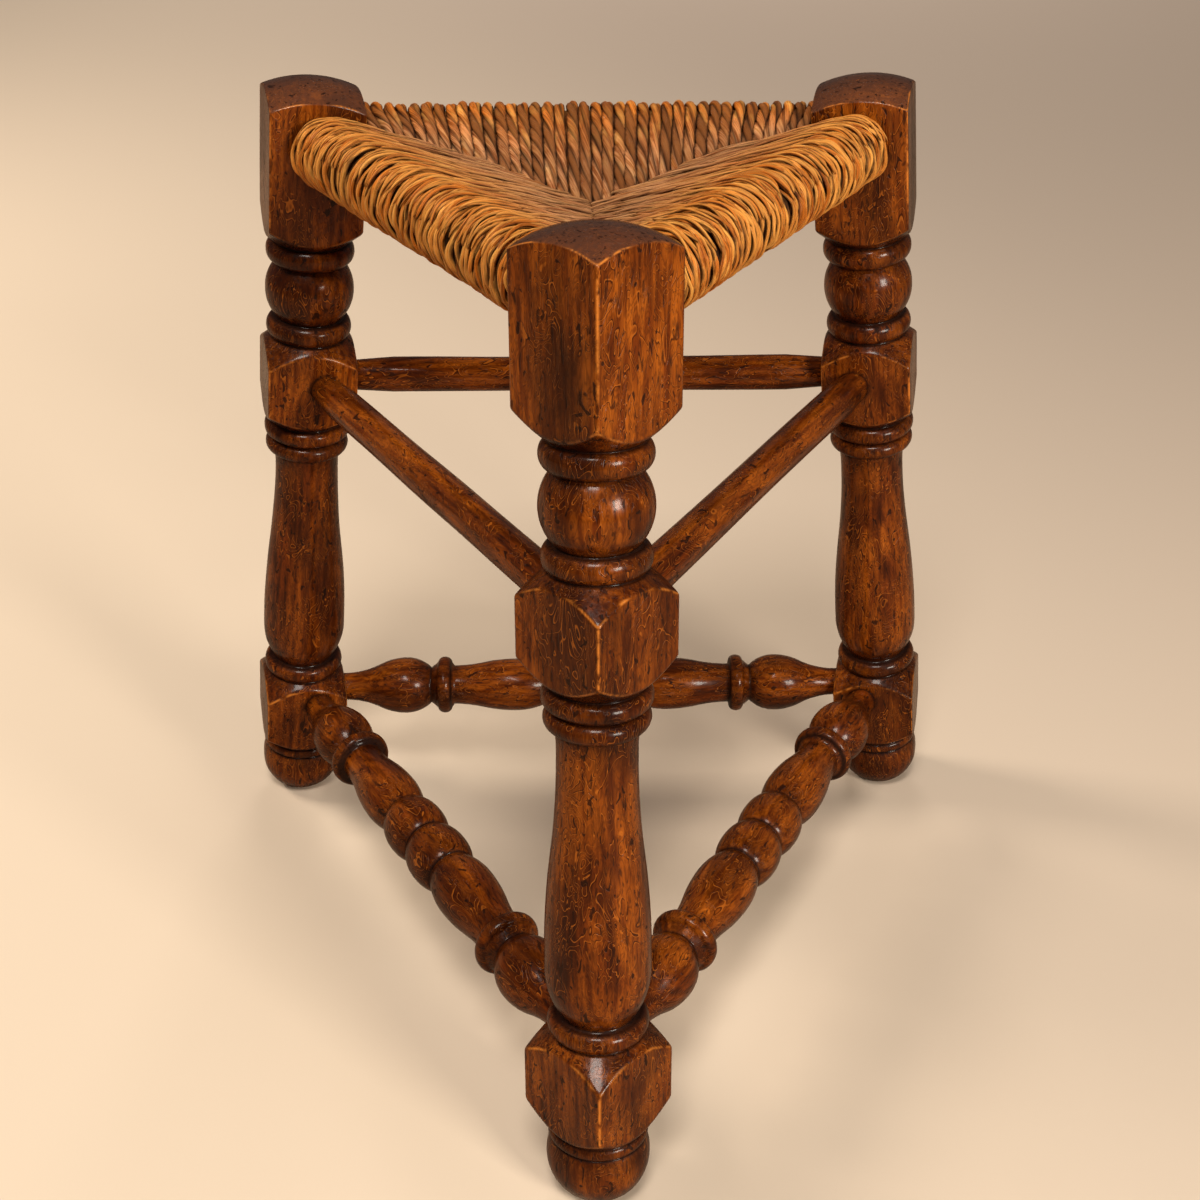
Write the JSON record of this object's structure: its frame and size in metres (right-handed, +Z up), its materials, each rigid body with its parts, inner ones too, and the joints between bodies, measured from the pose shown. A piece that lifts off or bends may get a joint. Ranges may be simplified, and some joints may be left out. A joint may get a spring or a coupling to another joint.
{
  "type": "rush-seat stool",
  "caption": "Low triangular stool with turned legs leaning inward, plain upper and turned lower stretchers, and a dished seat of twisted rush.",
  "frame": {"origin": "on the floor, at the middle of the stool's overall plan box", "axes": "+Z up, -Y towards the front leg, +X to the right seen from the front leg"},
  "size_m": [0.4196, 0.376, 0.4466],
  "materials": {
    "turned_wood": "waxed, dark, worn lighter on the edges",
    "rush": "twisted rush, dry, golden with grey streaks"
  },
  "bodies": {
    "root": {"leg_front": "turned_wood", "leg_rear_left": "turned_wood", "leg_rear_right": "turned_wood", "seat_rail_rear": "turned_wood", "seat_rail_left": "turned_wood", "seat_rail_right": "turned_wood", "upper_stretcher_rear": "turned_wood", "upper_stretcher_left": "turned_wood", "upper_stretcher_right": "turned_wood", "lower_stretcher_rear": "turned_wood", "lower_stretcher_left": "turned_wood", "lower_stretcher_right": "turned_wood", "rush_courses_rear": "rush", "rush_courses_left": "rush", "rush_courses_right": "rush", "rush_stuffing_rear": "rush", "rush_stuffing_left": "rush", "rush_stuffing_right": "rush"}
  },
  "joints": []
}
